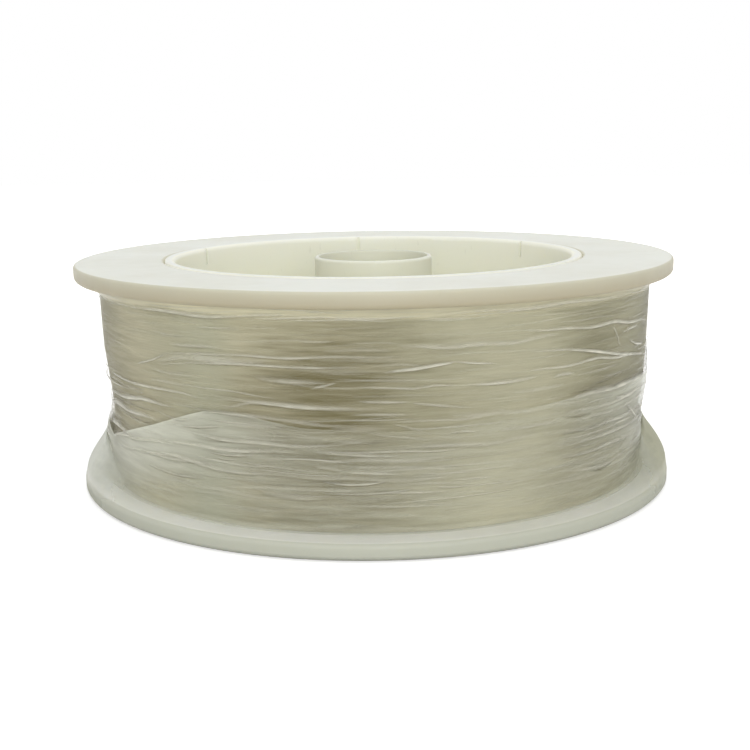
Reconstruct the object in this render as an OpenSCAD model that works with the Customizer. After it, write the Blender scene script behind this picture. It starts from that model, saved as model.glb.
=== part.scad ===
// Bulk spool of clear nylon fishing line, wrapped in stretch film.
// The spool lies on one flange. Its axis is Z, and Z = 0 is the surface that it rests on.

/* [Flanges] */
// Outer diameter of each flange
flange_d = 200; // [192:1:260]
// Thickness of each flange
flange_t = 5; // [4:0.1:7]
// Radius on both edges of a flange's rim
rim_edge_r = 1.5; // [0.4:0.1:1.9]
// Radius on the outer edge of a flange's bore, which leaves a groove round the drum's lip
bore_edge_r = 1.6; // [0.4:0.1:2.4]

/* [Drum] */
// Distance between the flanges, which the line fills
line_space = 64.5; // [40:0.5:100]
// Outer diameter of the drum that the line is wound on
drum_d = 147; // [130:1:152]
// Wall of the drum between its bore and the line
drum_wall = 6.5; // [6:0.1:9]
// Width of the shoulder that each flange seats against
shoulder_w = 3; // [1.5:0.1:3.2]
// Height of the drum's lip above a flange's outer face
lip_h = 0.2; // [0.1:0.1:2]
// Radius on the lip's outer edge
lip_outer_r = 0.8; // [0.2:0.1:1]
// Radius on the lip's inner edge, where it turns down into the bore
lip_inner_r = 1.4; // [0.2:0.1:1.6]
// Width of the shallow notches down the inner wall from the lip, one above each web
notch_w = 1; // [0.6:0.1:2]
// Depth of the notches into the wall
notch_d = 0.8; // [0.3:0.1:1.2]
// Reach of the notches below the lip's crest
notch_h = 6; // [3:0.1:10]

/* [Hub] */
// Bore of the hub tube, which runs on an axle
hub_bore_d = 37; // [20:0.5:50]
// Wall of the hub tube
hub_wall = 1.5; // [1.2:0.1:4]
// Distance from a flange's outer face to the end of the hub tube inside it
hub_recess = 0.5; // [0:0.1:1.5]
// Radius on the outer edge of the hub tube's ends
hub_edge_r = 0.7; // [0.2:0.1:1]
// Number of webs round the hub tube
web_count = 6; // [3:1:8]
// Thickness of a web
web_t = 2; // [1.2:0.1:4]
// Height of the webs and of the ring round them
web_h = 36; // [10:1:38]
// Angle of the first web, and of the first notch, from +X
web_angle = 95; // [0:1:120]
// Wall of the ring round the webs
ring_wall = 2; // [1.2:0.1:4]

/* [Line and film] */
// Depth of line on the drum at the waist, where it is thinnest
line_depth = 15.9; // [8:0.1:16]
// Height of the waist above the lower flange's inner face
waist_z = 21; // [10:1:30]
// Extra depth of line at the lower flange
low_rise = 1.2; // [0:0.1:2]
// Extra depth of line at the upper flange
high_rise = 1.8; // [0:0.1:2]
// Thickness of the wrapped layers of film
film_t = 0.5; // [0.3:0.1:1]

/* [Clearances] */
// Radial clearance of a flange round the drum's neck
neck_gap = 0.1; // [0.05:0.05:0.2]
// Radial clearance of the hub's ring in the drum
ring_gap = 0.1; // [0.05:0.05:0.3]
// Clearance of the line to the drum, the flanges and the film
line_gap = 0.2; // [0.1:0.1:0.5]

/* [Hidden] */

$fn = 96;
eps = 0.01;

// Radii, from the axis outward
hub_bore_r = hub_bore_d / 2;
hub_r = hub_bore_r + hub_wall;
drum_r = drum_d / 2;
drum_bore_r = drum_r - drum_wall;
ring_r = drum_bore_r - ring_gap;
neck_r = drum_r - shoulder_w;
flange_bore_r = neck_r + neck_gap;
flange_r = flange_d / 2;

// Heights, from the floor up
low_seat_z = lip_h + flange_t;
high_seat_z = low_seat_z + line_space;
total_h = high_seat_z + flange_t + lip_h;
mid_z = total_h / 2;

// Outline of the line
line_steps = 12;
line_h = line_space - 2 * line_gap;
waist_r = drum_r + line_depth;

// Outer radius of the line at height z above the lower flange's inner face
function line_r(z) = z < waist_z
    ? waist_r + low_rise * sin(90 * (waist_z - z) / waist_z)
    : waist_r + high_rise * sin(90 * (z - waist_z) / (line_space - waist_z));

// Points up the line's outline, moved outward by out
function line_outline(out) = [
    for (i = [0:line_steps]) let (z = line_gap + line_h * i / line_steps) [line_r(z) + out, z]
];

function reversed(points) = [for (i = [len(points) - 1:-1:0]) points[i]];

// A quarter of a disc, which fills a rounded corner
module quarter_disc(r) {
    intersection() {
        circle(r = r);
        square(r);
    }
}

// A flange from Z = 0 up, with its outer face on top
module flange() {
    rim_x = flange_r - rim_edge_r;
    bore_x = flange_bore_r + bore_edge_r;
    rotate_extrude() {
        translate([bore_x, 0]) square([rim_x - bore_x, flange_t]);
        translate([rim_x, rim_edge_r]) square([rim_edge_r, flange_t - 2 * rim_edge_r]);
        translate([rim_x, flange_t - rim_edge_r]) quarter_disc(rim_edge_r);
        translate([rim_x, rim_edge_r]) mirror([0, 1]) quarter_disc(rim_edge_r);
        translate([flange_bore_r, 0]) square([bore_edge_r, flange_t - bore_edge_r]);
        translate([bore_x, flange_t - bore_edge_r]) mirror([1, 0]) quarter_disc(bore_edge_r);
    }
}

module lower_flange() {
    color("#e9ebe2") translate([0, 0, low_seat_z]) mirror([0, 0, 1]) flange();
}

module upper_flange() {
    color("#e9ebe2") translate([0, 0, high_seat_z]) flange();
}

// Half of the drum's section above Z = 0, which is the middle of its height
module drum_half_section() {
    half_h = total_h / 2;
    inner_x = drum_bore_r + lip_inner_r;
    outer_x = neck_r - lip_outer_r;
    translate([drum_bore_r, 0]) square([drum_wall, line_space / 2]);
    translate([drum_bore_r, 0]) square([lip_inner_r, half_h - lip_inner_r]);
    translate([inner_x, half_h - lip_inner_r]) mirror([1, 0]) quarter_disc(lip_inner_r);
    translate([inner_x, 0]) square([outer_x - inner_x, half_h]);
    translate([outer_x, 0]) square([lip_outer_r, half_h - lip_outer_r]);
    translate([outer_x, half_h - lip_outer_r]) quarter_disc(lip_outer_r);
}

// The notches in the inner wall at one end
module wall_notches() {
    start_x = drum_bore_r - 2 * notch_d;
    for (i = [0:web_count - 1])
        rotate([0, 0, web_angle + 360 * i / web_count])
            translate([start_x, -notch_w / 2, total_h / 2 - notch_h])
                cube([3 * notch_d, notch_w, notch_h + eps]);
}

module winding_drum() {
    color("#dddfc9") translate([0, 0, mid_z]) difference() {
        rotate_extrude() {
            drum_half_section();
            mirror([0, 1]) drum_half_section();
        }
        wall_notches();
        mirror([0, 0, 1]) wall_notches();
    }
}

// Half of the hub tube's section above Z = 0, which is the middle of its height
module hub_half_section() {
    half_h = line_space / 2 + flange_t - hub_recess;
    edge_x = hub_r - hub_edge_r;
    translate([hub_bore_r, 0]) square([hub_wall, half_h - hub_edge_r]);
    translate([hub_bore_r, 0]) square([edge_x - hub_bore_r, half_h]);
    translate([edge_x, half_h - hub_edge_r]) quarter_disc(hub_edge_r);
}

// The webs and the ring round them, seen from above
module web_plan() {
    web_x = hub_r - hub_wall / 2;
    web_l = ring_r - ring_wall / 2 - web_x;
    difference() {
        circle(r = ring_r);
        circle(r = ring_r - ring_wall);
    }
    for (i = [0:web_count - 1])
        rotate(web_angle + 360 * i / web_count)
            translate([web_x, -web_t / 2]) square([web_l, web_t]);
}

module hub_spider() {
    color("#d6d8c2") translate([0, 0, mid_z]) union() {
        rotate_extrude() {
            hub_half_section();
            mirror([0, 1]) hub_half_section();
        }
        translate([0, 0, -web_h / 2]) linear_extrude(web_h) web_plan();
    }
}

module line_winding() {
    inner_x = drum_r + line_gap;
    inner_wall = [[inner_x, line_space - line_gap], [inner_x, line_gap]];
    color("#b9b394") translate([0, 0, low_seat_z]) rotate_extrude()
        polygon(concat(line_outline(0), inner_wall));
}

module stretch_film() {
    color("#d8d8c8", 0.4) translate([0, 0, low_seat_z]) rotate_extrude()
        polygon(concat(line_outline(line_gap + film_t), reversed(line_outline(line_gap))));
}

lower_flange();
upper_flange();
winding_drum();
hub_spider();
line_winding();
stretch_film();
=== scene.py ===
"""A bulk spool of clear nylon line under stretch film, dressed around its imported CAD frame.

The shapes are worked out in millimetres, with z up from the floor, and MM turns them into Blender's
metres. The camera, the lights and the materials are in metres. Angles round the spool are degrees
from the front (-Y), growing to the right (+X). Pixels are the photograph's, in a frame 750 wide.
"""

import math

import bpy
import numpy as np
from mathutils import Matrix, Vector


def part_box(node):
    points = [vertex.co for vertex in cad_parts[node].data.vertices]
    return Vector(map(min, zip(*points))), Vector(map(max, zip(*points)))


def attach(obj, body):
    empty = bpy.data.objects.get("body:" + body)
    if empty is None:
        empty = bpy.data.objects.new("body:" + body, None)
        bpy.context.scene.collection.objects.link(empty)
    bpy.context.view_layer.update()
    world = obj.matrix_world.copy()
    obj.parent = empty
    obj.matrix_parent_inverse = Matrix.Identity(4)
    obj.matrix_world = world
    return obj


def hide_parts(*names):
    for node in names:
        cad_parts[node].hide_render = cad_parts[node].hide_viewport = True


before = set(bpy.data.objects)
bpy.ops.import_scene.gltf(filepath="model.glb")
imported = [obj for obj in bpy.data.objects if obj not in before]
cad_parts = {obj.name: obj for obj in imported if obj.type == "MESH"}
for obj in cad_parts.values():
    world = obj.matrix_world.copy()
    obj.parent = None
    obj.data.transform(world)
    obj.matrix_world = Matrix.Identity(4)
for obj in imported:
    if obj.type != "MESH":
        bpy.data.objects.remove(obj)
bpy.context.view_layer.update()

MM = 0.001
rng = np.random.default_rng(619)

# ---- camera

CAMERA_DISTANCE = 0.4142
CAMERA_HEIGHT = 0.11575
CAMERA_PITCH = math.radians(11.38)
CAMERA_ROLL = math.radians(-0.86)
FOCAL_PX = 1210.0
FRAME_PX = 750.0
SENSOR_MM = 36.0


def make_camera():
    data = bpy.data.cameras.new("camera")
    data.sensor_width = SENSOR_MM
    data.lens = FOCAL_PX / FRAME_PX * SENSOR_MM
    data.clip_start = 0.01
    camera = bpy.data.objects.new("camera", data)
    bpy.context.scene.collection.objects.link(camera)
    place = Matrix.Translation((0, -CAMERA_DISTANCE, CAMERA_HEIGHT))
    tilt = Matrix.Rotation(math.pi / 2 - CAMERA_PITCH, 4, "X")
    camera.matrix_world = place @ tilt @ Matrix.Rotation(CAMERA_ROLL, 4, "Z")
    bpy.context.scene.camera = camera
    return camera


# ---- soft humps and angles

def half_turn(degrees):
    """The same angle, from -180 to 180."""
    return (degrees + 180) % 360 - 180


def hump(offset, width):
    """A soft hump of height 1, centred where the offset is 0."""
    return np.exp(-(offset / width) ** 2)


def bell(offset_degrees, width_degrees):
    """The same round the circle."""
    return hump(half_turn(offset_degrees), width_degrees)


def rising(value, start, span):
    """0 up to start, then a straight climb to 1 over the span."""
    return np.clip((value - start) / span, 0, 1)


def falling(value, end, span):
    """1 at first, then a straight fall over the span to 0 at end."""
    return np.clip((end - value) / span, 0, 1)


def fading(along, power):
    """1 halfway along a crease, and 0 at its ends."""
    return (4 * along * (1 - along)) ** power


def column_degrees(columns):
    return np.arange(columns) * 360 / columns


# ---- the shapes the frame gives

def outline_of(node):
    """Heights and outer radii of a turned CAD node, from the bottom up."""
    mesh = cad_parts[node].data
    points = np.empty(len(mesh.vertices) * 3)
    mesh.vertices.foreach_get("co", points)
    points = points.reshape(-1, 3) / MM
    radii = np.hypot(points[:, 0], points[:, 1])
    heights = np.round(points[:, 2], 2)
    levels = np.unique(heights)
    outer = np.array([radii[heights == level].max() for level in levels])
    return levels, outer


def radius_at(outline, z_mm):
    return np.interp(z_mm, *outline)


FILM_OUTLINE = outline_of("stretch_film")
LINE_OUTLINE = outline_of("line_winding")
# The film's edges cling to the flanges, which the solid clears by 0.2 mm.
FILM_CLING_MM = 0.16
FILM_LOW_MM = FILM_OUTLINE[0][0] - FILM_CLING_MM
FILM_HIGH_MM = FILM_OUTLINE[0][-1] + FILM_CLING_MM
LINE_LOW_MM, LINE_HIGH_MM = LINE_OUTLINE[0][0], LINE_OUTLINE[0][-1]
FILM_RADIUS_MM = 91.0

# Where the winding and its film stand out a little more: angle, how far, and the height it starts at.
SIDE_SWELLS = [(-82, 1.0, 34), (82, 1.5, 18)]
SWELL_WIDTH_DEG, SWELL_CLIMB_MM = 30, 14


def side_swell(degrees, z_mm):
    """How far the winding stands out past its turned outline, in mm."""
    return sum(far * bell(degrees - side, SWELL_WIDTH_DEG) * rising(z_mm, start, SWELL_CLIMB_MM)
               for side, far, start in SIDE_SWELLS)


def on_film(camera, pixel):
    """The angle and height of the point on the film's face that a pixel of the photograph shows."""
    eye = camera.matrix_world.translation / MM
    ray = Vector(((pixel[0] - FRAME_PX / 2) / FOCAL_PX, (FRAME_PX / 2 - pixel[1]) / FOCAL_PX, -1))
    ray = camera.matrix_world.to_3x3() @ ray
    a = ray.x ** 2 + ray.y ** 2
    b = eye.x * ray.x + eye.y * ray.y
    radius = FILM_RADIUS_MM
    # The ray meets a cylinder, whose radius is mended each time to the film's at the height it hit.
    for _ in range(4):
        c = eye.x ** 2 + eye.y ** 2 - radius ** 2
        reach = (-b - math.sqrt(max(b * b - a * c, 0))) / a
        point = eye + ray * reach
        radius = float(radius_at(FILM_OUTLINE, point.z))
    return math.degrees(math.atan2(point.x, -point.y)), point.z


def film_path(camera, pixels):
    """The points of the film that these pixels show, in order of angle."""
    return sorted(on_film(camera, pixel) for pixel in pixels)


# ---- shader helpers

class Nodes:
    """A node tree, with one short call for each kind of node."""

    def __init__(self, tree):
        self.tree = tree

    def add(self, kind, settings=None, **inputs):
        node = self.tree.nodes.new("ShaderNode" + kind)
        for key, value in (settings or {}).items():
            setattr(node, key, value)
        for key, value in inputs.items():
            self.put(node, key.replace("_", " "), value)
        return node

    def put(self, node, key, value):
        """Set an input, named or numbered, to a value or to another node's output."""
        socket = node.inputs[int(key) if key.isdigit() else key]
        if isinstance(value, bpy.types.NodeSocket):
            self.tree.links.new(value, socket)
        else:
            socket.default_value = value

    def place(self):
        """The point's own coordinates in its object, as three outputs and in metres."""
        return self.add("SeparateXYZ", Vector=self.add("TexCoord").outputs["Object"]).outputs

    def noise(self, scale, detail=3.0, roughness=0.55, stretch=(1, 1, 1), distortion=0.0):
        place = self.add("TexCoord").outputs["Object"]
        spread = self.add("Mapping", Vector=place, Scale=stretch)
        node = self.add("TexNoise", Vector=spread.outputs[0], Scale=scale, Detail=detail,
                        Roughness=roughness, Distortion=distortion)
        return node.outputs["Fac"]

    def attribute(self, name):
        return self.add("Attribute", {"attribute_name": name}).outputs["Fac"]

    def ramp(self, value, low, high, to_low=0.0, to_high=1.0):
        return self.add("MapRange", Value=value, From_Min=low, From_Max=high,
                        To_Min=to_low, To_Max=to_high).outputs[0]

    def joined(self, node, *inputs):
        """A node's first output, with its first inputs set."""
        for index, value in enumerate(inputs):
            self.put(node, str(index), value)
        return node.outputs[0]

    def math(self, operation, a, b=0.0):
        return self.joined(self.add("Math", {"operation": operation}), a, b)

    def times(self, a, b):
        return self.math("MULTIPLY", a, b)

    def edge_on(self, power):
        """1 where the surface is seen edge-on, falling to 0 where it faces the eye."""
        facing = self.add("LayerWeight", Blend=0.5).outputs["Facing"]
        return self.math("POWER", facing, power)

    def mix(self, factor, a, b):
        node = self.add("Mix", {"data_type": "RGBA"})
        self.put(node, "0", factor)
        for index, colour in ((6, a), (7, b)):
            value = colour if isinstance(colour, bpy.types.NodeSocket) else (*colour, 1.0)
            self.put(node, str(index), value)
        return node.outputs[2]

    def bump(self, height, distance, strength=1.0, normal=None):
        node = self.add("Bump", Height=height, Distance=distance, Strength=strength)
        if normal is not None:
            self.put(node, "Normal", normal)
        return node.outputs[0]

    def seen_ray(self):
        """1 for a ray that the camera sees, straight or off gloss or through film, and 0 for any other."""
        path = self.add("LightPath").outputs
        seen = path["Is Camera Ray"]
        for kind in ("Is Glossy Ray", "Is Transmission Ray"):
            seen = self.math("MAXIMUM", seen, path[kind])
        return seen


class Material(Nodes):
    def __init__(self, name):
        self.material = bpy.data.materials.new(name)
        self.material.use_nodes = True
        super().__init__(self.material.node_tree)
        self.tree.nodes.clear()
        self.output = self.tree.nodes.new("ShaderNodeOutputMaterial")

    def finish(self, shader):
        self.tree.links.new(shader, self.output.inputs["Surface"])
        return self.material


def linear(red, green, blue):
    """A colour given as 0 to 255 sRGB, as linear light."""
    def one(value):
        share = value / 255
        return share / 12.92 if share <= 0.04045 else ((share + 0.055) / 1.055) ** 2.4
    return (one(red), one(green), one(blue))


# ---- materials

# Between these values of its normal's Z, a wall of the plastic turns into a flat face, and its colour from
# the wall's to the face's: painted light and shade.
FLAT_NORMAL = (0.92, 0.998)
# Between these values of its normal's X, a wall begins to glow with a painted light, which stands in for
# light coming through it.
SIDE_NORMAL = (0.35, 0.95)
# The painted glow's colour.
GLOW_COLOUR = (1.0, 0.97, 0.84, 1.0)
CLOUD_SHARE = 0.25
SCUFF_SHARE = 0.10
SCUFF_COLOUR = linear(178, 175, 158)
FLOW_DEPTH = 0.0002
GRAIN_DEPTH = 0.00003

# The ends of the winding's tone, which carries painted light and shade.
LINE_DARK = linear(106, 98, 62)
LINE_LIGHT = linear(202, 197, 170)
LINE_TINT = linear(150, 152, 130)
# A painted highlight up the winding: its colour and share.
LINE_GLEAM = linear(162, 170, 152)
GLEAM_SHARE = 0.4
# The gleam's left and right edges, in X.
GLEAM_LEFT = (-0.060, -0.051)
GLEAM_RIGHT = (-0.046, -0.037)

# How opaque the film is where its haze is 0 and where it is 1.
CLEAR_ALPHA, HAZY_ALPHA = 0.04, 0.96
FILM_BUMP_DEPTH = 0.0004

# Painted shadow in a fold's hollow, and its ridge's milky colour, partly a painted highlight.
FOLD_SHADE = linear(128, 121, 88)
FOLD_LIGHT = linear(244, 241, 224)

# The hem's colours at its left and right, where it hangs and where it lies flat, and on the rim: painted
# shade darkens it to the right, where it hangs in the corner by the winding, and on the rim's wall.
HEM_SPAN_X = (-0.07, 0.08)
HEM_HUNG = (linear(238, 240, 229), linear(192, 192, 169))
HEM_FLAT = (linear(252, 252, 243), linear(216, 216, 198))
HEM_RIM_SHADE = linear(204, 205, 190)
# The heights between which the hem turns to its hanging colour, and below which it takes the rim's painted
# shade.
HEM_HUNG_Z = (0.0054, 0.0068)
HEM_FLAT_Z = (0.0036, 0.0052)
HEM_BUMP_DEPTH = 0.0003


def moulded_plastic(name, face, edge, deep, span_mm, painted_glow=0.0):
    """Milky natural-white plastic with painted light and shade: flat faces and walls take lit and shaded
    colours, and the walls turn from deep, a painted shade, to edge up a span of heights.

    The last argument is how brightly walls that face left or right glow: a painted light of their own,
    standing in for light coming through them.
    """
    n = Material(name)
    height = n.place()["Z"]
    # Painted shade: the walls darken lower down, towards deep.
    edge = n.mix(n.ramp(height, span_mm[0] * MM, span_mm[1] * MM), deep, edge)
    rounded = n.add("Bevel", {"samples": 6}, Radius=0.0008).outputs[0]
    normal = n.add("SeparateXYZ", Vector=rounded).outputs
    # Painted light and shade: flat faces take the face colour and walls the wall colour.
    flatness = n.ramp(n.math("ABSOLUTE", normal["Z"]), *FLAT_NORMAL)
    base = n.mix(flatness, edge, face)
    cloud = n.ramp(n.noise(28, detail=4), 0.35, 0.65)
    base = n.mix(n.times(cloud, CLOUD_SHARE), base, edge)
    scuffs = n.ramp(n.noise(700, detail=2, stretch=(1, 1, 0.3)), 0.66, 0.74)
    base = n.mix(n.times(scuffs, SCUFF_SHARE), base, SCUFF_COLOUR)
    flow = n.noise(160, detail=5, stretch=(1, 1, 0.5), distortion=0.6)
    grain = n.noise(1900, detail=2)
    bumps = n.bump(grain, GRAIN_DEPTH, 0.4, n.bump(flow, FLOW_DEPTH, 0.3, rounded))
    shader = n.add("BsdfPrincipled", Base_Color=base, Normal=bumps, Specular_IOR_Level=0.4,
                   Roughness=n.ramp(flow, 0.3, 0.7, 0.42, 0.6), Subsurface_Weight=0.3,
                   Subsurface_Scale=0.006, Subsurface_Radius=(1.0, 0.9, 0.7))
    if painted_glow:
        # Painted glow: walls that face left or right emit light.
        sideways = n.ramp(n.math("ABSOLUTE", normal["X"]), *SIDE_NORMAL, 0.0, painted_glow)
        n.put(shader, "Emission Color", GLOW_COLOUR)
        n.put(shader, "Emission Strength", sideways)
    return n.finish(shader.outputs[0])


def nylon_line():
    """Clear monofilament in a deep winding: a warm translucent grey that glints along each turn, with
    painted light and shade in its tone.
    """
    n = Material("nylon_line")
    turns = n.noise(60, detail=4, stretch=(1, 1, 14))
    tone = n.math("ADD", n.attribute("tone"), n.ramp(turns, 0.3, 0.7, -0.2, 0.2))
    base = n.mix(tone, LINE_DARK, LINE_LIGHT)
    tint = n.ramp(n.noise(13, detail=2, stretch=(1, 1, 0.5)), 0.45, 0.6, 0, 0.35)
    base = n.mix(tint, base, LINE_TINT)
    # A painted highlight: a cooler gleam runs up the winding left of its middle.
    across = n.place()["X"]
    painted_gleam = n.ramp(across, *GLEAM_LEFT, 0, GLEAM_SHARE)
    painted_gleam = n.times(painted_gleam, n.ramp(across, *GLEAM_RIGHT, 1, 0))
    base = n.mix(painted_gleam, base, LINE_GLEAM)
    shader = n.add("BsdfPrincipled", Base_Color=base, Specular_IOR_Level=0.1,
                   Roughness=n.ramp(turns, 0.3, 0.7, 0.4, 0.55))
    return n.finish(shader.outputs[0])


def clear_film(name, colour):
    """Stretch film: nearly clear where it lies flat on the line, whiter where it gathers or laps."""
    n = Material(name)
    streaks = n.ramp(n.noise(45, detail=5, stretch=(1, 1, 11)), 0.45, 0.75)
    veil = n.math("ADD", n.attribute("haze"), n.times(streaks, 0.20))
    veil = n.math("ADD", veil, n.times(n.edge_on(4.0), 0.04))
    fine = n.noise(90, detail=4, stretch=(1, 1, 9))
    shader = n.add("BsdfPrincipled", Base_Color=(*colour, 1), Roughness=0.25, Specular_IOR_Level=0.15,
                   Alpha=n.ramp(veil, 0.0, 1.0, CLEAR_ALPHA, HAZY_ALPHA),
                   Normal=n.bump(fine, FILM_BUMP_DEPTH, 0.5))
    return n.finish(shader.outputs[0])


def folded_film():
    """Film seen edge-on in a fold: milky along the ridge, with a painted highlight, and a painted olive
    shadow in the hollow beside it.
    """
    n = Material("folded_film")
    broken = n.ramp(n.noise(60, detail=4, stretch=(1, 1, 6)), 0.3, 0.65, 0.45, 1.15)
    shader = n.add("BsdfPrincipled", Base_Color=n.mix(n.attribute("light"), FOLD_SHADE, FOLD_LIGHT),
                   Alpha=n.times(n.attribute("veil"), broken), Roughness=0.35)
    return n.finish(shader.outputs[0])


def hem_film():
    """Film drawn over plastic: a milky veil, denser where it is seen edge-on, with painted shade to the
    right, where it hangs and on the rim.
    """
    n = Material("hem_film")
    place = n.place()
    # Painted shade: the hem darkens towards the right.
    right_shade = n.ramp(place["X"], *HEM_SPAN_X)
    hung = n.mix(right_shade, *HEM_HUNG)
    flat = n.mix(right_shade, *HEM_FLAT)
    # Painted shade where the hem hangs in the corner, and on the rim's wall.
    base = n.mix(n.ramp(place["Z"], *HEM_HUNG_Z), flat, hung)
    base = n.mix(n.ramp(place["Z"], *HEM_FLAT_Z), HEM_RIM_SHADE, base)
    haze = n.attribute("haze")
    denser = n.times(n.times(n.edge_on(3.0), 2.2), haze)
    streaks = n.ramp(n.noise(70, detail=4, stretch=(1, 1, 5)), 0.3, 0.7, 0.85, 1.1)
    fine = n.noise(120, detail=3, stretch=(1, 1, 4))
    shader = n.add("BsdfPrincipled", Base_Color=base, Roughness=0.6, Specular_IOR_Level=0.08,
                   Alpha=n.times(n.math("ADD", denser, haze), streaks),
                   Normal=n.bump(fine, HEM_BUMP_DEPTH, 0.15))
    return n.finish(shader.outputs[0])


# ---- turned sheets

SHARP_DEG = 40


def column_turns(columns):
    return np.arange(columns) * 2 * math.pi / columns


def mesh_piece(name, points_mm, quads):
    """A smooth-shaded object from rows of points in mm and of the four corners of each face."""
    mesh = bpy.data.meshes.new(name)
    mesh.from_pydata((points_mm.reshape(-1, 3) * MM).tolist(), [], quads.reshape(-1, 4).tolist())
    mesh.shade_smooth()
    piece = bpy.data.objects.new(name, mesh)
    bpy.context.scene.collection.objects.link(piece)
    return piece


def paint(piece, attribute, values):
    """Give each point of a piece a value, which its material reads by name."""
    layer = piece.data.attributes.new(attribute, "FLOAT", "POINT")
    layer.data.foreach_set("value", np.ascontiguousarray(values, dtype=np.float32).ravel())


def turned_sheet(name, radii, heights, attribute, values):
    """A sheet wrapped round the axis from a grid of radii, rows from the bottom up and columns round."""
    rows, columns = radii.shape
    turn = column_turns(columns)
    z = heights if heights.ndim == 2 else np.repeat(heights[:, None], columns, 1)
    points = np.stack([radii * np.sin(turn), -radii * np.cos(turn), z], -1)
    ring = np.arange(columns)
    after = np.roll(ring, -1)
    start = np.arange(rows - 1)[:, None] * columns
    above = start + columns
    quads = np.stack([start + ring, start + after, above + after, above + ring], -1)
    piece = mesh_piece(name, points, quads)
    paint(piece, attribute, values)
    return piece


def turned_ring(name, loop, columns):
    """A ring turned from a closed loop of (radius, height) points, with its flat faces kept flat."""
    radii, heights = np.array(loop).T
    turn = column_turns(columns)
    x = np.outer(np.sin(turn), radii)
    y = np.outer(-np.cos(turn), radii)
    points = np.stack([x, y, np.broadcast_to(heights, x.shape)], -1)
    here = np.arange(len(loop))
    ahead = np.roll(here, -1)
    start = np.arange(columns)[:, None] * len(loop)
    beside = np.roll(start, -1)
    quads = np.stack([start + here, beside + here, beside + ahead, start + ahead], -1)
    piece = mesh_piece(name, points, quads)
    piece.data.set_sharp_from_angle(angle=math.radians(SHARP_DEG))
    return piece


# ---- the plastic

FLANGE_COLUMNS = 360
# The radii on each flange's rim: first the edge beside the winding, then the outer one.
UPPER_EDGES_MM = (1.5, 0.9)
LOWER_EDGES_MM = (1.5, 1.5)
FLANGE_BORE_EDGE_MM = 1.1
# The film lies this far off the lower flange, whose visual rim is drawn in by as much.
SKIRT_GAP_MM = 0.08
# A narrow ring beside each edge keeps the flat faces flat.
EDGE_RING_MM = 0.2
ARC_STEPS = 8
# The heights between which walls turn from their deep colour, a painted shade lower down, to their own.
UPPER_SIDE_MM = (69.7, 74.7)
LOWER_SIDE_MM = (-0.6, 1.8)
BORE_MM = (45, 75)
# How brightly the bore's sideways walls glow: painted light.
BORE_GLOW = 0.10


def arc(centre, radius, start_deg, end_deg):
    turns = np.radians(np.linspace(start_deg, end_deg, ARC_STEPS))
    return [(centre[0] + radius * math.cos(turn), centre[1] + radius * math.sin(turn)) for turn in turns]


def make_flange(node, outward, edges_mm, material, inset_mm=0.0):
    """The flange of a CAD node, turned smooth; outward is 1 where its outer face is up, -1 where down."""
    low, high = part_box(node)
    rim = high.x / MM - inset_mm
    bottom, top = low.z / MM, high.z / MM
    thick = top - bottom
    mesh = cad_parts[node].data
    bore = min(math.hypot(vertex.co.x, vertex.co.y) for vertex in mesh.vertices) / MM
    bore_edge = FLANGE_BORE_EDGE_MM
    inner, outer = edges_mm
    ring = EDGE_RING_MM
    loop = [(bore, 0.0), (bore + ring, 0.0), (rim - inner - ring, 0.0)]
    loop += arc((rim - inner, inner), inner, -90, 0)
    loop += arc((rim - outer, thick - outer), outer, 0, 90)
    loop += [(rim - outer - ring, thick), (bore + bore_edge + ring, thick)]
    loop += arc((bore + bore_edge, thick - bore_edge), bore_edge, 90, 180)
    inner_z = bottom if outward > 0 else top
    loop = [(radius, inner_z + outward * height) for radius, height in loop]
    if outward < 0:
        loop.reverse()
    piece = turned_ring(node + "_moulding", loop, FLANGE_COLUMNS)
    piece.data.materials.append(material)
    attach(piece, "root")
    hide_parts(node)


def dress(node, material):
    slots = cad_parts[node].data.materials
    for index in range(len(slots)):
        slots[index] = material


def dress_plastic():
    """Each plastic's colours are those of its flat faces, its walls, and its walls lower down, which paint
    the light and shade that fall on them.
    """
    # The flanges' walls are painted darker than their lit faces, partly a warmer moulded skin and partly
    # painted shade, and darker still low down.
    upper = moulded_plastic("upper_flange_plastic", linear(231, 233, 224), linear(206, 203, 182),
                            linear(181, 171, 143), UPPER_SIDE_MM)
    # The lower flange's walls darken to a painted shadow at its foot.
    lower = moulded_plastic("lower_flange_plastic", linear(250, 251, 244), linear(200, 202, 188),
                            linear(92, 90, 74), LOWER_SIDE_MM)
    # The bore's walls are painted lighter than its faces, standing in for the light inside it.
    drum = moulded_plastic("moulded_drum", linear(238, 240, 232), linear(251, 251, 235),
                           linear(247, 247, 226), BORE_MM, BORE_GLOW)
    hub = moulded_plastic("moulded_hub", linear(224, 226, 211), linear(238, 238, 219),
                          linear(247, 247, 226), BORE_MM)
    make_flange("upper_flange", 1, UPPER_EDGES_MM, upper)
    make_flange("lower_flange", -1, LOWER_EDGES_MM, lower, SKIRT_GAP_MM)
    dress("winding_drum", drum)
    dress("hub_spider", hub)


# ---- the line

TURN_PITCH_MM = 0.8
ROWS_PER_TURN = 4
LINE_COLUMNS = 288
# The groove between two turns: its share of round line's, and how flat it bottoms out.
TURN_RELIEF, GROOVE_FLOOR = 0.12, 0.04
# The turns lie this far inside the solid's face.
LINE_INSET_MM = 0.2
# Waves over the winding: size in mm, how many go round, mm of height per radian, start in radians.
LAY_WANDER = [(0.18, 3, 5.3, 0.0), (0.12, 7, -3.1, 0.0)]
LAY_SWELL = [(0.12, 2, 17, 1.1), (0.08, 5, -7, 0.0)]

# The winding's plain tone, from 0 dark to 1 light.
PLAIN_TONE = 0.535
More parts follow.
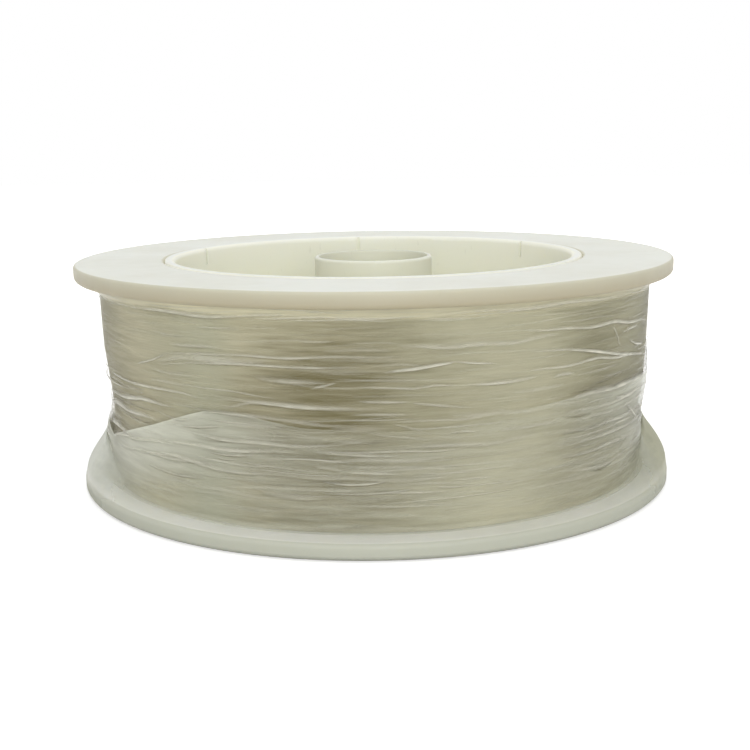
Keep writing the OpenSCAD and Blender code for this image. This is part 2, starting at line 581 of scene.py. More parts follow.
# It is lighter at the top, a painted light, darker in the middle, and darker high up at both sides, a
# painted shade.
TOP_PAINTED_LIGHT, TOP_START_MM, TOP_SPAN_MM = 0.06, 40, 12
MIDDLE_TONE, MIDDLE_MM = -0.10, 32
SIDE_PAINTED_SHADE, SIDE_DEG, SIDE_WIDTH_DEG, SIDE_START_MM, SIDE_SPAN_MM = -0.35, 80, 16, 40, 14
# Painted sheen and shade: bands up the winding that lighten or darken it as the lamps' reflections along
# its turns would: angle, width, strength.
SHEEN_BANDS = [
    (-72, 10, -0.32), (-44, 15, 0.3), (-27, 7, -0.1), (-8, 16, -0.46), (25, 13, 0.45), (44, 7, -0.06),
    (60, 8, 0.06), (72, 8, -0.34),
    (95, 20, -0.25), (130, 22, 0.3), (170, 25, -0.3), (205, 16, 0.3), (240, 20, -0.25), (275, 20, 0.25),
]
# How far the bands sway, and mm of height per radian of it.
BAND_SWAY_DEG, BAND_CLIMB_MM = 3.0, 9.0

# Lighter and darker places, read off the photograph, which paint light and shade into the winding's own
# tone: pixel, half angle, half height, strength.
LIGHT_AND_TONE_PATCHES = {
    "left_light": ((234, 342), 9, 9, 0.26),
    "left_low": ((298, 414), 14, 5, 0.2),
    "left_corner": ((132, 416), 8, 5, 0.22),
    "left_foot": ((280, 495), 22, 4, 0.14),
    "under_rim": ((350, 322), 16, 2.5, 0.2),
    "front_light": ((406, 408), 7, 9, 0.15),
    "front_dark": ((322, 384), 10, 6, -0.16),
    "left_top": ((176, 320), 9, 4, 0.14),
    "right_top": ((530, 320), 8, 4, 0.16),
    "left_lower": ((205, 470), 12, 6, 0.17),
    "front_top": ((330, 340), 8, 4, 0.1),
    "left_far": ((114, 335), 10, 10, -0.08),
    "right_far": ((606, 334), 12, 7, -0.1),
    "right_brown_top": ((602, 312), 11, 3.0, -0.26),
    "right_brown": ((598, 341), 12, 3.2, -0.34),
    "right_brown_low": ((606, 383), 9, 2.8, -0.34),
}


def waves(turn, z, rows):
    return sum(size * np.sin(count * turn + start + z / climb) for size, count, climb, start in rows)


def line_tone(camera, degrees, z):
    """How light the winding is at an angle and a height: its own tone with painted light and shade."""
    tone = np.full(np.broadcast(degrees, z).shape, PLAIN_TONE)
    # Painted light at the top.
    tone += TOP_PAINTED_LIGHT * rising(z, TOP_START_MM, TOP_SPAN_MM)
    # Painted light and shade read off the photograph.
    for pixel, half_angle, half_height, strength in LIGHT_AND_TONE_PATCHES.values():
        angle, height = on_film(camera, pixel)
        tone += strength * bell(degrees - angle, half_angle) * hump(z - height, half_height)
    # Painted sheen and shade in bands up the winding.
    for centre, width, strength in SHEEN_BANDS:
        sway = BAND_SWAY_DEG * np.sin(z / BAND_CLIMB_MM + centre)
        tone += strength * bell(degrees - centre + sway, width)
    tone += MIDDLE_TONE * np.cos((z - MIDDLE_MM) / MIDDLE_MM * math.pi)
    # Painted shade high up at both sides.
    sides = bell(degrees - SIDE_DEG, SIDE_WIDTH_DEG) + bell(degrees + SIDE_DEG, SIDE_WIDTH_DEG)
    tone += SIDE_PAINTED_SHADE * sides * rising(z, SIDE_START_MM, SIDE_SPAN_MM)
    return np.clip(tone, 0, 1)


def make_line(camera):
    """The winding, one groove for each turn, which climbs by a turn's width each time round."""
    rows = int((LINE_HIGH_MM - LINE_LOW_MM) / TURN_PITCH_MM * ROWS_PER_TURN)
    z = np.linspace(LINE_LOW_MM, LINE_HIGH_MM, rows)[:, None]
    degrees = column_degrees(LINE_COLUMNS)[None, :]
    turn = np.radians(degrees)
    phase = (z - LINE_LOW_MM + waves(turn, z, LAY_WANDER)) / TURN_PITCH_MM + turn / (2 * math.pi)
    across = 2 * (phase % 1.0) - 1
    round_line = np.sqrt(np.clip(1 - across ** 2, GROOVE_FLOOR, 1)) - 1
    crown = round_line * TURN_PITCH_MM / 2 * TURN_RELIEF
    swell = waves(turn, z, LAY_SWELL)
    radii = radius_at(LINE_OUTLINE, z) + side_swell(degrees, z) + crown + swell - LINE_INSET_MM
    piece = turned_sheet("line_turns", radii, z[:, 0], "tone", line_tone(camera, degrees, z))
    piece.data.materials.append(nylon_line())
    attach(piece, "root")
    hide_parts("line_winding")


# ---- the film's sheets

FILM_COLUMNS, FILM_ROWS = 320, 300
# The wrapped layers and the outer lap lie this far off the solid's face.
WRAP_OFFSET_MM, LAP_OFFSET_MM = -0.45, 0.05

# The strongest soft crease's height and haze.
CREASE_HEIGHT_MM, CREASE_HAZE = 0.35, 0.12
# The film bunches under the upper flange and runs out over the lower one.
UNDER_RIM_MM, UNDER_RIM_OUT_MM, UNDER_RIM_HAZE = 4.5, 1.5, 0.7
OVER_RIM_MM, OVER_RIM_OUT_MM, OVER_RIM_HAZE = 2, 0.7, 0.08


def bowed_path(angle, z, half, slope, bow):
    """A path of (angle, height) points, half degrees to each side of one."""
    steps = np.linspace(-1, 1, 7)
    return [(angle + half * t, z + slope * half * t + bow * t * t) for t in steps]


def wrap_piece(piece):
    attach(piece, "root")
    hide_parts("stretch_film")


class FilmSheet:
    """Relief and haze over an unrolled turn of film: rows up the spool, columns round it."""

    def __init__(self, top, offset):
        self.degrees = column_degrees(FILM_COLUMNS)
        self.top = np.broadcast_to(top, FILM_COLUMNS)
        share = np.linspace(0, 1, FILM_ROWS)[:, None]
        self.z = FILM_LOW_MM + share * (self.top - FILM_LOW_MM)
        self.offset = offset
        self.rise = side_swell(self.degrees, self.z)
        self.haze = np.zeros_like(self.z)

    def crease(self, path, width, height, haze):
        """A soft crease along a path of (angle, height) points, gone at its ends."""
        angles, heights = np.array(path).T
        degrees = (self.degrees - angles[0] + 90) % 360 - 90 + angles[0]
        near = (degrees > angles[0]) & (degrees < angles[-1])
        along = (degrees[near] - angles[0]) / (angles[-1] - angles[0])
        middle = np.interp(degrees[near], angles, heights)
        across = np.abs(self.z[:, near] - middle) / width
        shape = np.exp(-across ** 1.4) * fading(along, 0.8)
        self.rise[:, near] += shape * height
        self.haze[:, near] += shape * haze

    def ruffle(self, count, strength_at, angles=(0, 360), longest=22):
        """Soft creases of the wrapping, as strong as strength_at(angle, height) says."""
        for _ in range(count):
            angle = rng.uniform(*angles)
            z = rng.uniform(FILM_LOW_MM + 2, FILM_HIGH_MM - 1)
            half = rng.uniform(4, longest)
            slope = rng.normal(0, 0.05)
            bow = rng.normal(0, 0.5)
            strength = strength_at(angle, z) * rng.uniform(0.3, 1)
            width = rng.uniform(0.5, 1.5)
            path = bowed_path(angle, z, half, slope, bow)
            self.crease(path, width, CREASE_HEIGHT_MM * strength, CREASE_HAZE * strength)

    def gather_at_flanges(self):
        """The film runs out a little and bunches where it meets the flanges."""
        under_rim = rising(self.z - FILM_HIGH_MM, -UNDER_RIM_MM, UNDER_RIM_MM)
        over_rim = falling(self.z, FILM_LOW_MM + OVER_RIM_MM, OVER_RIM_MM)
        self.rise += UNDER_RIM_OUT_MM * under_rim ** 2 + OVER_RIM_OUT_MM * over_rim ** 2
        self.haze += UNDER_RIM_HAZE * np.clip(under_rim * 3, 0, 1) + OVER_RIM_HAZE * over_rim

    def radius(self, degrees, z):
        """The sheet's outer radius at an angle and a height, from the nearest point of the grid."""
        column = film_column(degrees)
        share = (z - FILM_LOW_MM) / (self.top[column] - FILM_LOW_MM)
        row = np.clip(np.round(share * (FILM_ROWS - 1)).astype(int), 0, FILM_ROWS - 1)
        return radius_at(FILM_OUTLINE, z) + self.rise[row, column] + self.offset

    def piece(self, name, material):
        radii = radius_at(FILM_OUTLINE, self.z) + self.rise + self.offset
        piece = turned_sheet(name, radii, self.z, "haze", np.clip(self.haze, 0, 1))
        piece.data.materials.append(material)
        wrap_piece(piece)


def film_column(degrees):
    return np.round(degrees / 360 * FILM_COLUMNS).astype(int) % FILM_COLUMNS


def film_radius(wrap, lap, degrees, z):
    """The outer radius of the two sheets at an angle and a height."""
    under_lap = z < lap.top[film_column(degrees)]
    return np.where(under_lap, lap.radius(degrees, z), wrap.radius(degrees, z))


# ---- the film's folds

# Across a fold, from its lower edge to its upper edge.
FOLD_ACROSS = np.array([-1.0, -0.55, -0.2, 0.3, 1.0])
FOLD_RISE = np.array([0.0, -0.1, 1.0, 0.6, 0.0])
FOLD_RIDGE = np.array([0.0, 0.05, 1.0, 0.6, 0.0])
FOLD_HOLLOW = np.array([0.0, 1.0, 0.05, 0.0, 0.0])
FOLD_STEP_MM = 1.8
# At its ends a fold is this share of its full width, and it lies this far off the film.
FOLD_END_WIDTH, FOLD_GAP_MM = 0.35, 0.04
FOLD_SWAY_MM = 0.25
TINY = 1e-4
# No more than this many folds lie over each other, so that light passes through the film.
FOLDS_DEEP = 2
COVER_COLUMNS = 300
COVER_ROW_MM = 0.25


class Folds:
    """Fine sharp folds that stand on the film, each a strip with a bright ridge, milky and a painted
    highlight, over a hollow darkened by painted shadow.
    """

    def __init__(self, wrap, lap):
        self.wrap = wrap
        self.lap = lap
        self.points, self.quads, self.veil, self.light = [], [], [], []
        self.count = 0
        rows = int((FILM_HIGH_MM - FILM_LOW_MM) / COVER_ROW_MM) + 2
        self.cover = np.zeros((rows, COVER_COLUMNS), dtype=int)

    def add(self, path, half_width, height, ridge, hollow):
        """A fold along a path of (angle, height) points, unless others lie there."""
        angles, heights = np.array(path).T
        length = math.radians(angles[-1] - angles[0]) * FILM_RADIUS_MM
        steps = max(6, int(length / FOLD_STEP_MM))
        along = np.linspace(0, 1, steps)
        degrees = angles[0] + along * (angles[-1] - angles[0])
        sway = FOLD_SWAY_MM * np.sin(along * length / rng.uniform(3, 7) + rng.uniform(0, 6))
        fade = fading(along, 0.6)
        middle = np.interp(degrees, angles, heights) + sway * min(1, half_width)
        reach = half_width * (FOLD_END_WIDTH + (1 - FOLD_END_WIDTH) * fade)
        z = np.clip(middle[:, None] + FOLD_ACROSS * reach[:, None], FILM_LOW_MM, FILM_HIGH_MM)
        degrees = np.broadcast_to(degrees[:, None], z.shape)
        if not self.claim(degrees, z):
            return
        rise = fade[:, None] * FOLD_RISE * height
        radius = film_radius(self.wrap, self.lap, degrees, z) + FOLD_GAP_MM + rise
        turn = np.radians(degrees)
        points = np.stack([radius * np.sin(turn), -radius * np.cos(turn), z], -1)
        self.points.append(points.reshape(-1, 3))
        width = len(FOLD_ACROSS)
        start = self.count + np.arange(steps - 1)[:, None] * width + np.arange(width - 1)
        quads = np.stack([start, start + width, start + width + 1, start + 1], -1)
        self.quads.append(quads.reshape(-1, 4))
        patchy = fade * rng.uniform(0.75, 1, steps)
        # The ridge's milky light and painted highlight, and the hollow's painted shadow.
        lit, hollow_shade = ridge * FOLD_RIDGE, hollow * FOLD_HOLLOW
        self.veil.append((patchy[:, None] * (lit + hollow_shade)).ravel())
        self.light.append(np.tile(lit / (lit + hollow_shade + TINY), steps))
        self.count += steps * width

    def claim(self, degrees, z):
        """Count a fold where it lies, and say whether there was room for it."""
        row = ((z - FILM_LOW_MM) / COVER_ROW_MM).astype(int)
        column = np.round(degrees / 360 * COVER_COLUMNS).astype(int) % COVER_COLUMNS
        if self.cover[row, column].max() >= FOLDS_DEEP:
            return False
        self.cover[row, column] += 1
        return True

    def scatter(self, count, strength_at, angles, heights,
                longest=18, hollow=0.22, half_widths=(0.3, 0.7)):
        """Folds at random in a span of angles and a span of heights, none on the skirt."""
        for _ in range(count):
            angle = rng.uniform(*angles)
            z = rng.uniform(*heights)
            half = min(longest, rng.uniform(2.5, 6) + rng.exponential(5))
            slope = rng.normal(0, 0.04)
            bow = rng.normal(0, 0.4)
            strength = strength_at(angle, z) * rng.uniform(0.25, 1)
            # How dark the hollow's painted shadow is.
            hollow_shade = rng.uniform(0, hollow) * min(1, strength)
            half_width = rng.uniform(*half_widths)
            if z > skirt_top(angle) - 2:
                path = bowed_path(angle, z, half, slope, bow)
                self.add(path, half_width, 0.35 * strength, min(0.9, 0.6 * strength), hollow_shade)

    def piece(self, name, material):
        piece = mesh_piece(name, np.concatenate(self.points), np.concatenate(self.quads))
        paint(piece, "veil", np.concatenate(self.veil))
        paint(piece, "light", np.concatenate(self.light))
        piece.data.materials.append(material)
        wrap_piece(piece)


# Creases read off the photograph: width, height and haze, then the pixels that each runs through.
CREASES = [
    # Upper left.
    (0.6, 0.24, 0.6, (158, 354), (200, 353), (240, 356), (300, 358), (403, 356)),
    (0.6, 0.24, 0.67, (153, 364), (190, 362), (240, 365), (300, 367), (362, 368)),
    (1.7, 0.08, 0.52, (155, 359), (185, 358), (225, 360), (270, 362)),
    (0.5, 0.2, 0.67, (136, 363), (152, 360), (167, 354)),
    (0.7, 0.28, 0.6, (208, 350), (235, 346), (266, 342)),
    (0.5, 0.2, 0.52, (192, 326), (215, 328), (242, 330)),
    (0.5, 0.16, 0.45, (150, 330), (168, 334), (186, 336)),
    # Under the rim.
    (0.8, 0.24, 0.67, (112, 300), (153, 310), (206, 316), (300, 315)),
    (0.6, 0.2, 0.6, (250, 318), (320, 318), (384, 318), (430, 316)),
    (0.9, 0.24, 0.6, (430, 315), (500, 310), (566, 303), (632, 292)),
    # Falling from the left knot.
    (0.4, 0.2, 0.6, (178, 383), (205, 388), (232, 392), (278, 399)),
    (0.7, 0.35, 0.99, (112, 372), (122, 378), (143, 385), (183, 394), (199, 399)),
    (1.0, 0.4, 1.0, (110, 388), (118, 394), (140, 399), (175, 407)),
    (1.3, 0.45, 1.0, (110, 396), (116, 402), (132, 411), (158, 421)),
    # Ridges across the middle.
    (0.8, 0.28, 0.6, (220, 408), (247, 403), (300, 407), (358, 409)),
    (0.9, 0.2, 0.45, (217, 412), (260, 418), (300, 423), (350, 427)),
    # Ridges at the lap's edge.
    (1.0, 0.3, 0.66, (158, 437), (206, 447), (256, 451), (302, 453)),
    (0.9, 0.3, 0.62, (188, 432), (225, 439), (262, 444), (330, 446)),
    (0.9, 0.25, 0.55, (138, 450), (173, 455), (216, 468), (262, 474)),
    # Front.
    (0.5, 0.24, 0.6, (309, 389), (322, 386), (338, 382)),
    (0.7, 0.36, 0.9, (382, 374), (414, 370), (436, 365), (458, 361)),
    (0.5, 0.24, 0.6, (357, 388), (414, 389), (436, 385), (474, 385)),
    (0.5, 0.2, 0.52, (355, 402), (385, 402), (412, 402)),
    (0.5, 0.24, 0.6, (350, 416), (380, 415), (410, 414)),
    (0.5, 0.2, 0.52, (392, 423), (430, 421), (474, 419)),
    (0.6, 0.16, 0.45, (410, 404), (440, 406), (476, 407)),
    (0.5, 0.2, 0.45, (364, 433), (395, 437), (430, 440)),
    (0.4, 0.2, 0.45, (390, 424), (406, 427), (425, 431)),
    # Low at the front.
    (0.8, 0.25, 0.55, (312, 452), (356, 454), (400, 456)),
    (0.6, 0.25, 0.62, (346, 473), (372, 474), (400, 474)),
    (0.7, 0.2, 0.44, (312, 466), (330, 468), (345, 470)),
    (0.8, 0.25, 0.11, (248, 480), (300, 483), (352, 486)),
    (0.7, 0.2, 0.11, (342, 501), (364, 502), (388, 501)),
    # Right.
    (0.8, 0.35, 1.0, (522, 330), (569, 329), (616, 322), (644, 319)),
    (0.7, 0.3, 0.99, (530, 351), (566, 350), (599, 352), (642, 354)),
    (0.7, 0.3, 0.88, (528, 372), (565, 366), (599, 358), (640, 352)),
    (0.9, 0.45, 1.0, (503, 388), (556, 381), (599, 371), (641, 356)),
    (0.5, 0.25, 0.66, (452, 361), (475, 363), (500, 364)),
    (0.6, 0.25, 0.66, (463, 386), (490, 384), (522, 380)),
    # The right knot.
    (0.7, 0.5, 0.99, (612, 325), (616, 336), (619, 347)),
    (0.6, 0.5, 0.99, (627, 339), (634, 343), (640, 344)),
    (0.7, 0.5, 0.99, (598, 367), (606, 360), (613, 351)),
    (0.7, 0.5, 0.88, (620, 333), (628, 327), (636, 324)),
    # The fan in the outer lap, at the right.
    (1.1, 0.45, 0.88, (562, 400), (599, 391), (625, 381), (644, 368)),
    (0.9, 0.4, 0.77, (560, 414), (599, 405), (625, 394), (645, 377)),
    (0.8, 0.4, 0.66, (565, 422), (605, 412), (628, 400), (645, 385)),
    (0.9, 0.4, 0.66, (560, 434), (600, 424), (628, 410), (644, 396)),
    (0.8, 0.4, 0.66, (556, 446), (600, 436), (625, 423), (643, 407)),
    (0.8, 0.35, 0.62, (558, 458), (592, 450), (622, 436), (642, 420)),
    (0.8, 0.3, 0.48, (565, 472), (600, 465), (626, 450)),
    (0.7, 0.3, 0.13, (556, 445), (590, 437), (632, 418)),
    (0.7, 0.3, 0.13, (560, 457), (605, 447), (634, 430)),
    # Its knot.
    (0.8, 0.5, 0.88, (622, 404), (628, 410), (635, 418)),
    (0.8, 0.5, 0.88, (612, 398), (622, 396), (634, 386)),
    # The lap's knot at the left.
    (1.5, 0.5, 0.95, (109, 419), (118, 424), (130, 432)),
    (1.3, 0.4, 0.8, (112, 436), (114, 448), (117, 462)),
    (0.9, 0.3, 0.55, (112, 428), (120, 433), (150, 440), (190, 446)),
    (0.8, 0.25, 0.44, (118, 442), (150, 452), (190, 461), (230, 466)),
    # Level creases in the lap.
    (0.9, 0.25, 0.4, (400, 446), (450, 446), (500, 441), (540, 434)),
    (0.8, 0.25, 0.4, (420, 462), (470, 461), (520, 455), (570, 446)),
    (0.9, 0.2, 0.33, (220, 470), (300, 476), (380, 480), (450, 478)),
]
# A crease's fold is this much wider than given above, and its own hollow this dark with painted shadow.
CREASE_SPREAD, CREASE_HOLLOW = 1.35, 0.25
# Painted shadows in the hollows between the creases: how dark, then the pixels that each runs through.
SHADOW_HOLLOWS = [
    (0.85, (564, 360), (582, 358), (600, 355)),
    (0.85, (570, 375), (590, 371), (604, 368), (615, 361), (630, 354)),
    (0.85, (588, 384), (604, 377), (620, 370), (632, 366)),
    (0.85, (568, 393), (590, 388), (608, 384), (624, 377), (638, 369)),
    (0.85, (568, 399), (586, 396), (600, 391)),
    (0.85, (572, 409), (590, 405), (605, 400), (620, 395), (630, 389)),
    (0.85, (560, 415), (580, 412), (592, 409)),
    (0.85, (570, 422), (590, 417), (606, 412)),
    (0.85, (622, 412), (634, 404), (641, 397)),
    (0.85, (560, 432), (580, 428), (600, 422), (610, 418)),
    (0.85, (598, 433), (612, 428), (625, 423)),
    (0.85, (556, 444), (575, 440), (592, 437), (602, 433)),
    (0.85, (600, 443), (615, 437), (628, 430)),
    (0.85, (562, 455), (580, 452), (596, 450), (608, 446), (620, 438), (632, 428)),
    (0.85, (584, 456), (600, 451), (615, 443)),
    (0.85, (590, 469), (604, 465), (612, 460)),
    (0.85, (612, 458), (625, 447), (636, 436)),
    (0.7, (112, 391), (122, 399), (140, 405), (162, 410)),
    (0.7, (115, 404), (124, 411), (138, 417), (152, 422)),
    (0.3, (190, 424), (205, 427), (222, 428)),
    (0.3, (192, 434), (210, 438), (234, 441)),
    (0.3, (196, 447), (218, 449), (240, 452)),
    (0.3, (122, 442), (135, 447), (150, 450)),
]
HOLLOW_HALF_MM, HOLLOW_HEIGHT_MM, HOLLOW_RIDGE = 1.5, 0.3, 0.12

# The film is calm up to the first height at the far left, and up to the second elsewhere.
CALM_LEFT_MM, CALM_MM = 24, 14


def crease_strength(angle, z):
    """How strongly the film is folded at an angle and a height, as the photograph shows it."""
    turn = half_turn(angle)
    if abs(turn) > 90:
        return 0.9
    strength = 0.5
    strength += 0.5 * hump(turn + 8, 26) * hump(z - 30, 14)
    strength += 0.25 * hump(turn - 62, 20)
    strength -= 0.2 * hump(turn - 28, 10)
    strength -= 0.4 * hump(turn + 62, 18) * hump(z - 55, 11)
    calm = CALM_LEFT_MM if turn < -35 else CALM_MM
    return strength * min(1, max(0.1, (z - calm + 8) / 8))


def side_strength(angle, z):
    """The same at the far left and right."""
    return 1.2 if z < 46 else 0.6


def steady(strength):
    return lambda angle, z: strength


def make_folds(camera, wrap, lap):
    folds = Folds(wrap, lap)
    for width, height, haze, *pixels in CREASES:
        folds.add(film_path(camera, pixels), CREASE_SPREAD * width, height, haze, CREASE_HOLLOW)
    for dark, *pixels in SHADOW_HOLLOWS:
        folds.add(film_path(camera, pixels), HOLLOW_HALF_MM, HOLLOW_HEIGHT_MM, HOLLOW_RIDGE, dark)
    # Fine folds at random, densest and with the darkest painted shadow in their hollows where the
    # photograph has them so.
    folds.scatter(60, steady(0.8), (-45, 72), (12, 58), longest=16, hollow=0.5, half_widths=(0.9, 1.7))
    folds.scatter(90, steady(1.5), (42, 74), (14, 50), longest=12, hollow=0.5)
    folds.scatter(50, steady(1.4), (-72, -52), (24, 44), longest=10, hollow=0.5)
    folds.scatter(240, steady(1.1), (-42, 22), (13, 39), longest=14, hollow=0.8)
    folds.scatter(240, steady(1.1), (0, 360), (FILM_HIGH_MM - 4.5, FILM_HIGH_MM - 0.3), hollow=0.05)
    folds.scatter(1500, crease_strength, (0, 360), (FILM_LOW_MM + 5, FILM_HIGH_MM - 1))
    return folds


# ---- the film's skirt

SKIRT_COLUMNS, SKIRT_ROWS = 480, 30
# The height at which the skirt leaves the winding, where it hugs the corner and where it is taut.
SKIRT_TOP_MM, SKIRT_TAUT_TOP_MM = 8.0, 23.0
# How far above the flange a taut skirt is pulled on its way to the rim.
SKIRT_CORNER_MM = 6.8
SKIRT_LIFT_MM = 0.1
SKIRT_HEM_MM, HEM_WAVE_MM = 1.3, 0.25
RIPPLE_MM, RIPPLES = 0.10, 41
# The skirt is taut between these angles, once this many degrees inside them.
TAUT_FROM_DEG, TAUT_TO_DEG, TAUT_SPAN_DEG = 42, 156, 40
# The skirt's haze where it hugs the corner, and what tautness adds.
SKIRT_HAZE, TAUT_HAZE = 0.12, 0.70
# The lower flange as the film meets it, a gap off its rounded edge and its face.
flange_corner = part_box("lower_flange")[1]
RIM_MM, FACE_MM = flange_corner.x / MM, flange_corner.z / MM + SKIRT_GAP_MM
EDGE_MM = LOWER_EDGES_MM[0] + SKIRT_GAP_MM


def on_edge(turn):
    """Radius and height on the flange's rounded edge, at a turn up from its outermost point."""
    return RIM_MM - EDGE_MM + EDGE_MM * np.cos(turn), FACE_MM - EDGE_MM + EDGE_MM * np.sin(turn)


def tautness(degrees):
    """How far the skirt is drawn off the corner under the winding: 0 hugs it, 1 hangs out to the rim."""
    turn = np.abs(half_turn(degrees))
    uneven = 0.9 + 0.1 * np.sin(np.radians(5 * degrees + 40))
    drawn = rising(np.minimum(turn - TAUT_FROM_DEG, TAUT_TO_DEG - turn), 0, TAUT_SPAN_DEG)
    return uneven * drawn ** 1.6


def skirt_top(degrees):
    return SKIRT_TOP_MM + (SKIRT_TAUT_TOP_MM - SKIRT_TOP_MM) * tautness(degrees)


def curve(along, start, leave, reach, end):
    """A smooth curve from start to end, with its ends' tangents toward leave and reach."""
    back = 1 - along
    first = back ** 3 * start + 3 * back ** 2 * along * leave
    return first + 3 * back * along ** 2 * reach + along ** 3 * end


def hanging_part(wrap, lap, degrees, drop, meet):
    """Radii and heights of the skirt between the winding and the flange's rounded edge."""
    taut = tautness(degrees)
    top_z = skirt_top(degrees)
    top_r = film_radius(wrap, lap, degrees, top_z) + SKIRT_LIFT_MM
    leave_z = top_z - 1.5 - 4.0 * taut
    corner_r = top_r + 0.9 + taut * (RIM_MM + 0.2 - top_r - 0.9)
    corner_z = FACE_MM + SKIRT_CORNER_MM * taut
    meet_r, meet_z = on_edge(meet)
    radii = curve(drop, top_r, top_r, corner_r, meet_r)
    heights = curve(drop, top_z, leave_z, corner_z, meet_z)
    # It never cuts into the flange's rounded edge, nor into the winding.
    over = np.clip(radii - RIM_MM + EDGE_MM, 0, EDGE_MM)
    heights = np.maximum(heights, FACE_MM - EDGE_MM + np.sqrt(EDGE_MM ** 2 - over ** 2))
    clear = film_radius(wrap, lap, degrees, np.minimum(heights, FILM_HIGH_MM)) + SKIRT_GAP_MM
    radii = np.where(drop < 0.8, np.maximum(radii, clear), radii)
    ripple = RIPPLE_MM * taut * np.sin(np.radians(RIPPLES * degrees) + 3 * drop) * np.sin(drop * math.pi)
    return radii, heights + np.maximum(ripple, 0)


def make_skirt(wrap, lap):
    """The film's lower hem, drawn out from the winding over the lower flange and round its rim."""
    degrees = column_degrees(SKIRT_COLUMNS)
    taut = tautness(degrees)
    drop = np.linspace(0, 1, SKIRT_ROWS)[:, None]
    # Where the film is taut, it skips the flange's face and meets the edge near its outer end.
    meet = np.radians(90 * (1 - 0.8 * taut))
    radii, heights = hanging_part(wrap, lap, degrees, drop, meet)
    over_r, over_z = on_edge(meet * np.linspace(1, 0, ARC_STEPS)[1:, None])
    hem_r = np.full((1, SKIRT_COLUMNS), RIM_MM)
    hem_z = SKIRT_HEM_MM + HEM_WAVE_MM * np.sin(np.radians(3 * degrees))[None, :]
    radii = np.concatenate([radii, over_r, hem_r])[::-1]
    heights = np.concatenate([heights, over_z, hem_z])[::-1]

    full = SKIRT_HAZE + TAUT_HAZE * taut ** 1.5
    haze = rising(drop, 0, 0.4 - 0.18 * taut) * full
    haze = np.concatenate([haze, np.broadcast_to(full, (ARC_STEPS, SKIRT_COLUMNS))])[::-1]
    piece = turned_sheet("film_skirt", radii, heights, "haze", haze)
    piece.data.materials.append(hem_film())
    # Thin film lets the light through to what it covers.
    piece.visible_shadow = False
    wrap_piece(piece)


# ---- the film put together

# The upper edge of the outer lap: pixels across the front, then (angle, height) points round the back.
LAP_EDGE_PIXELS = [(116, 434), (155, 424), (190, 414), (204, 411), (240, 414), (300, 428), (400, 432),
                   (480, 420), (530, 408), (566, 399), (600, 391), (625, 381), (644, 369)]
LAP_EDGE_BEHIND = [(85, 46.0), (110, 40.0), (150, 36.0), (200, 39.0), (240, 33.0), (275, 27.0)]
SIDES_DEG = ((-92, -66), (66, 92))


def lap_top(camera, degrees):
    """The height of the outer lap's upper edge at each angle."""
    edge = sorted([on_film(camera, pixel) for pixel in LAP_EDGE_PIXELS] + LAP_EDGE_BEHIND)
    angles, heights = np.array(edge).T
    angles = np.concatenate([angles - 360, angles, angles + 360])
    return np.interp(degrees, angles, np.tile(heights, 3))


def shade_wrap(wrap):
    """A pale streak up the left of the front, and a bulge of gathered film under the knot."""
    wrap.haze += 0.03
    wrap.haze += 0.10 * bell(wrap.degrees + 33, 9) * rising(wrap.z, 22, 8)
    under_knot = bell(wrap.degrees + 83, 10) * hump(wrap.z - 18.5, 5)
    wrap.rise += 1.1 * under_knot
    wrap.haze += 0.60 * under_knot


def shade_lap(lap):
    """The lap is hazy along its edge and at both sides, and clearest in the middle of the front."""
    below_edge = lap.top - lap.z
    middle = bell(lap.degrees - 5, 34)
    lap.haze += 0.12 * (1 - middle * np.exp(-below_edge / 5))
    lap.haze += 0.35 * np.exp(-below_edge / 0.4) * (1 - middle)
    lap.haze += 0.66 * bell(lap.degrees + 48, 22) * np.exp(-(below_edge / 17) ** 4)
    lap.haze += 0.04 * bell(lap.degrees + 15, 20)
    lap.haze += 0.62 * bell(lap.degrees - 66, 18) * np.exp(-below_edge / 16)


def hang_lap(lap):
    """At the left the lap is pulled into a knot, and hangs from it like a tent to the lower flange."""
    tent = bell(lap.degrees + 80, 13)
    lap.rise += tent * (1.2 * hump(lap.z - 21, 4) + 2.0 * falling(lap.z, 20, 15))
    sides = bell(lap.degrees + 82, 11) + bell(lap.degrees - 82, 11)
    lap.haze += 0.55 * sides * falling(lap.z, 24, 5)


def make_film(camera):
    wrap = FilmSheet(FILM_HIGH_MM, WRAP_OFFSET_MM)
    lap = FilmSheet(lap_top(camera, column_degrees(FILM_COLUMNS)), LAP_OFFSET_MM)
    for sheet in (wrap, lap):
        sheet.ruffle(260, crease_strength)
        for span in SIDES_DEG:
            sheet.ruffle(26, side_strength, span, longest=9)
        sheet.gather_at_flanges()
    shade_wrap(wrap)
    shade_lap(lap)
    hang_lap(lap)
    folds = make_folds(camera, wrap, lap)

    wrap.piece("film_wrap", clear_film("wrapped_film", linear(231, 225, 194)))
    lap.piece("film_lap", clear_film("lapped_film", linear(230, 231, 213)))
    folds.piece("film_folds", folded_film())
    make_skirt(wrap, lap)


# ---- studio

WHITE = (1, 1, 1, 1)
WORLD_LIGHT = 0.40
FLOOR_HALF = 2.5
FLOOR_DIFFUSE = 0.88
# How bright the floor looks near the spool and far from it, and between which distances.
FLOOR_GLOW_NEAR = 0.50
FLOOR_GLOW_FAR = 1.0
FLOOR_GLOW_SPAN = (0.15, 0.45)
LAMP_TARGET = Vector((0, 0, 0.04))
# Azimuth and elevation in degrees, distance and diameter in metres, and watts.
SOFTBOXES = {
    "overhead_softbox": (0, 82, 1.5, 1.4, 7.0),
    "back_softbox": (176, 52, 1.6, 0.8, 4.6),
    "front_softbox": (4, 14, 1.6, 0.8, 8.8),
}


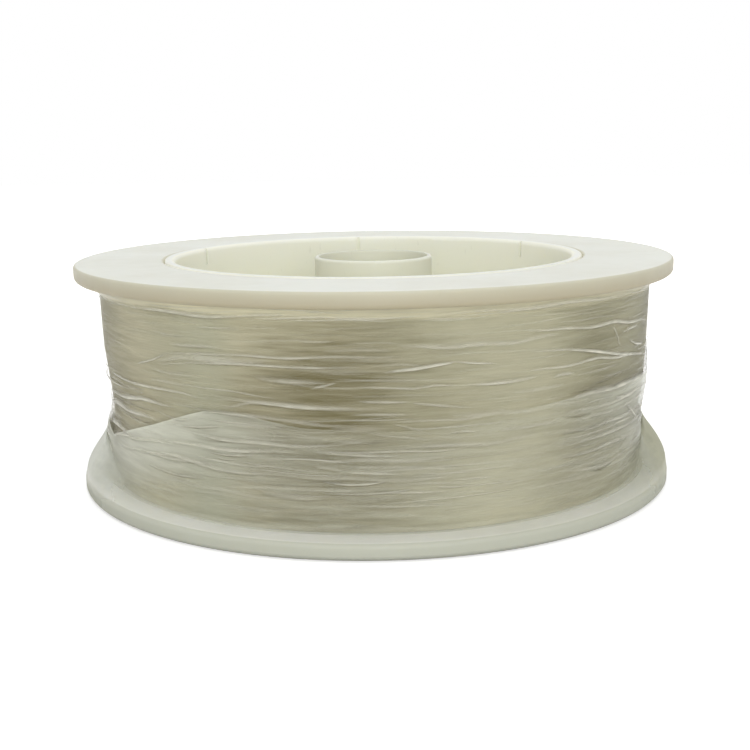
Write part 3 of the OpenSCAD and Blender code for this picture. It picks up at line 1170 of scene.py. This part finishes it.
def make_softbox(name, azimuth_deg, elevation_deg, distance, size, watts):
    data = bpy.data.lights.new(name, "AREA")
    data.shape = "DISK"
    data.size = size
    data.energy = watts
    lamp = bpy.data.objects.new(name, data)
    azimuth = math.radians(azimuth_deg)
    elevation = math.radians(elevation_deg)
    flat = math.cos(elevation)
    way = Vector((flat * math.sin(azimuth), -flat * math.cos(azimuth), math.sin(elevation)))
    lamp.location = LAMP_TARGET + way * distance
    lamp.rotation_euler = way.to_track_quat("Z", "Y").to_euler()
    bpy.context.scene.collection.objects.link(lamp)


def make_world():
    """A world that looks white and lights the spool by WORLD_LIGHT."""
    world = bpy.data.worlds.new("studio")
    world.use_nodes = True
    n = Nodes(world.node_tree)
    background = n.tree.nodes["Background"]
    n.put(background, "Color", WHITE)
    n.put(background, "Strength", n.ramp(n.seen_ray(), 0, 1, WORLD_LIGHT, 1.0))
    bpy.context.scene.world = world


def make_floor():
    """A pale floor that fades to white away from the spool, and keeps the spool's shadow."""
    corners = [(-1, -1), (1, -1), (1, 1), (-1, 1)]
    mesh = bpy.data.meshes.new("floor")
    mesh.from_pydata([(x * FLOOR_HALF, y * FLOOR_HALF, 0) for x, y in corners], [], [(0, 1, 2, 3)])
    floor = bpy.data.objects.new("floor", mesh)
    bpy.context.scene.collection.objects.link(floor)

    n = Material("pale_floor")
    away = n.add("VectorMath", {"operation": "LENGTH"})
    n.put(away, "0", n.add("TexCoord").outputs["Object"])
    spread = n.ramp(away.outputs["Value"], *FLOOR_GLOW_SPAN, FLOOR_GLOW_NEAR, FLOOR_GLOW_FAR)
    diffuse = n.add("BsdfDiffuse", Color=(FLOOR_DIFFUSE, FLOOR_DIFFUSE, FLOOR_DIFFUSE, 1))
    glow = n.add("Emission", Strength=n.times(n.seen_ray(), spread))
    both = n.add("AddShader")
    n.put(both, "0", diffuse.outputs[0])
    n.put(both, "1", glow.outputs[0])
    floor.data.materials.append(n.finish(both.outputs[0]))


def make_studio():
    for name, facts in SOFTBOXES.items():
        make_softbox(name, *facts)
    make_world()
    make_floor()


# ---- put together

view = make_camera()
dress_plastic()
make_line(view)
make_film(view)
make_studio()
bpy.context.scene.view_settings.view_transform = "Standard"
